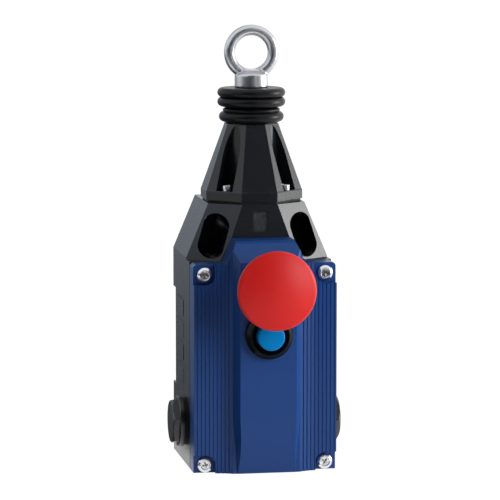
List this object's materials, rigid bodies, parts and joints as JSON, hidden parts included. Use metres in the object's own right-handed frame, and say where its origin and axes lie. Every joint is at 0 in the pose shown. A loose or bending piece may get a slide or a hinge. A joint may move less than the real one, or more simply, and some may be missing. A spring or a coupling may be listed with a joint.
{
  "type": "rope pull switch",
  "caption": "Rope-operated emergency stop switch with a sprung pull eye, a mushroom stop button and a reset button, for wall mounting beside a machine.",
  "frame": {"origin": "on the pull axis, at the flat foot of the housing", "axes": "+Z along the pull, towards the eye; the front with the buttons faces -Y; the mounting face looks towards +Y"},
  "size_m": [0.0886, 0.1113, 0.2276],
  "materials": {
    "housing_coat": "satin powder coat on die-cast metal",
    "cover_coat": "satin powder coat on die-cast metal",
    "black_rubber": "moulded rubber",
    "black_plastic": "moulded glass-filled nylon",
    "red_plastic": "moulded plastic",
    "blue_plastic": "moulded plastic",
    "stainless": "polished stainless steel",
    "zinc_steel": "bright zinc plate",
    "spring_steel": "drawn wire",
    "brass": "stamped brass",
    "white_plastic": "moulded acetal",
    "flag_plastic": "moulded plastic",
    "window": "clear polycarbonate"
  },
  "bodies": {
    "switch_housing": {"housing": "housing_coat", "front_cover": "cover_coat", "cover_gasket": "black_rubber", "cover_screws": "stainless", "spring_hood": "housing_coat", "hood_gasket": "black_rubber", "hood_screws": "stainless", "hood_bush": "white_plastic", "rod_bush": "white_plastic", "indicator_window": "window", "left_entry_plug": "black_plastic", "right_entry_plug": "black_plastic", "plug_seals": "black_rubber", "mechanism_carrier": "zinc_steel", "carrier_screws": "zinc_steel", "left_contact_block": "white_plastic", "right_contact_block": "white_plastic", "block_screws": "zinc_steel", "stop_contact_block": "white_plastic", "fixed_contacts": "brass", "terminal_screws": "brass", "earth_screw": "brass", "lever_pin": "stainless", "reset_bezel": "black_plastic", "reset_nut": "zinc_steel", "stop_sleeve": "black_plastic", "stop_nut": "zinc_steel", "bellows": "black_rubber", "main_spring": "spring_steel"},
    "rod_assembly": {"pull_eye": "stainless", "eye_nut": "stainless", "pull_rod": "stainless", "spring_plate": "zinc_steel", "plate_clip": "spring_steel", "switch_cam": "white_plastic", "indicator_flag": "flag_plastic", "latch_collar": "stainless"},
    "left_plunger_assembly": {"left_plunger": "red_plastic", "left_bridge": "brass"},
    "right_plunger_assembly": {"right_plunger": "red_plastic", "right_bridge": "brass"},
    "stop_assembly": {"stop_button": "red_plastic", "stop_stem": "stainless", "stop_bridge": "brass"},
    "reset_assembly": {"reset_button": "blue_plastic", "reset_stem": "stainless"},
    "reset_lever": {"reset_lever": "zinc_steel"}
  },
  "joints": [
    {"name": "rope_pull", "type": "slide", "parent": "switch_housing", "child": "rod_assembly", "axis": [0, 0, 1], "range_m": [0, 0.012], "stiffness_N_per_m": 6000, "springref_m": -0.005, "deforming": ["main_spring", "bellows"]},
    {"name": "left_plunger_slide", "type": "slide", "parent": "switch_housing", "child": "left_plunger_assembly", "axis": [-1, 0, 0], "range_m": [0, 0.0024]},
    {"name": "right_plunger_slide", "type": "slide", "parent": "switch_housing", "child": "right_plunger_assembly", "axis": [1, 0, 0], "range_m": [0, 0.0024]},
    {"name": "stop_press", "type": "slide", "parent": "switch_housing", "child": "stop_assembly", "axis": [0, 1, 0], "range_m": [0, 0.005]},
    {"name": "reset_press", "type": "slide", "parent": "switch_housing", "child": "reset_assembly", "axis": [0, 1, 0], "range_m": [0, 0.004], "stiffness_N_per_m": 500, "springref_m": -0.003},
    {"name": "reset_swing", "type": "hinge", "parent": "switch_housing", "child": "reset_lever", "pos_m": [0, -0.014, 0.06], "axis": [-1, 0, 0], "range_deg": [0, 19]}
  ],
  "couplings": [
    {"joint": "left_plunger_slide", "follows": "rope_pull", "ratio": 0.2},
    {"joint": "right_plunger_slide", "follows": "rope_pull", "ratio": 0.2},
    {"joint": "reset_swing", "follows": "reset_press", "rad_per_m": 81.3}
  ]
}
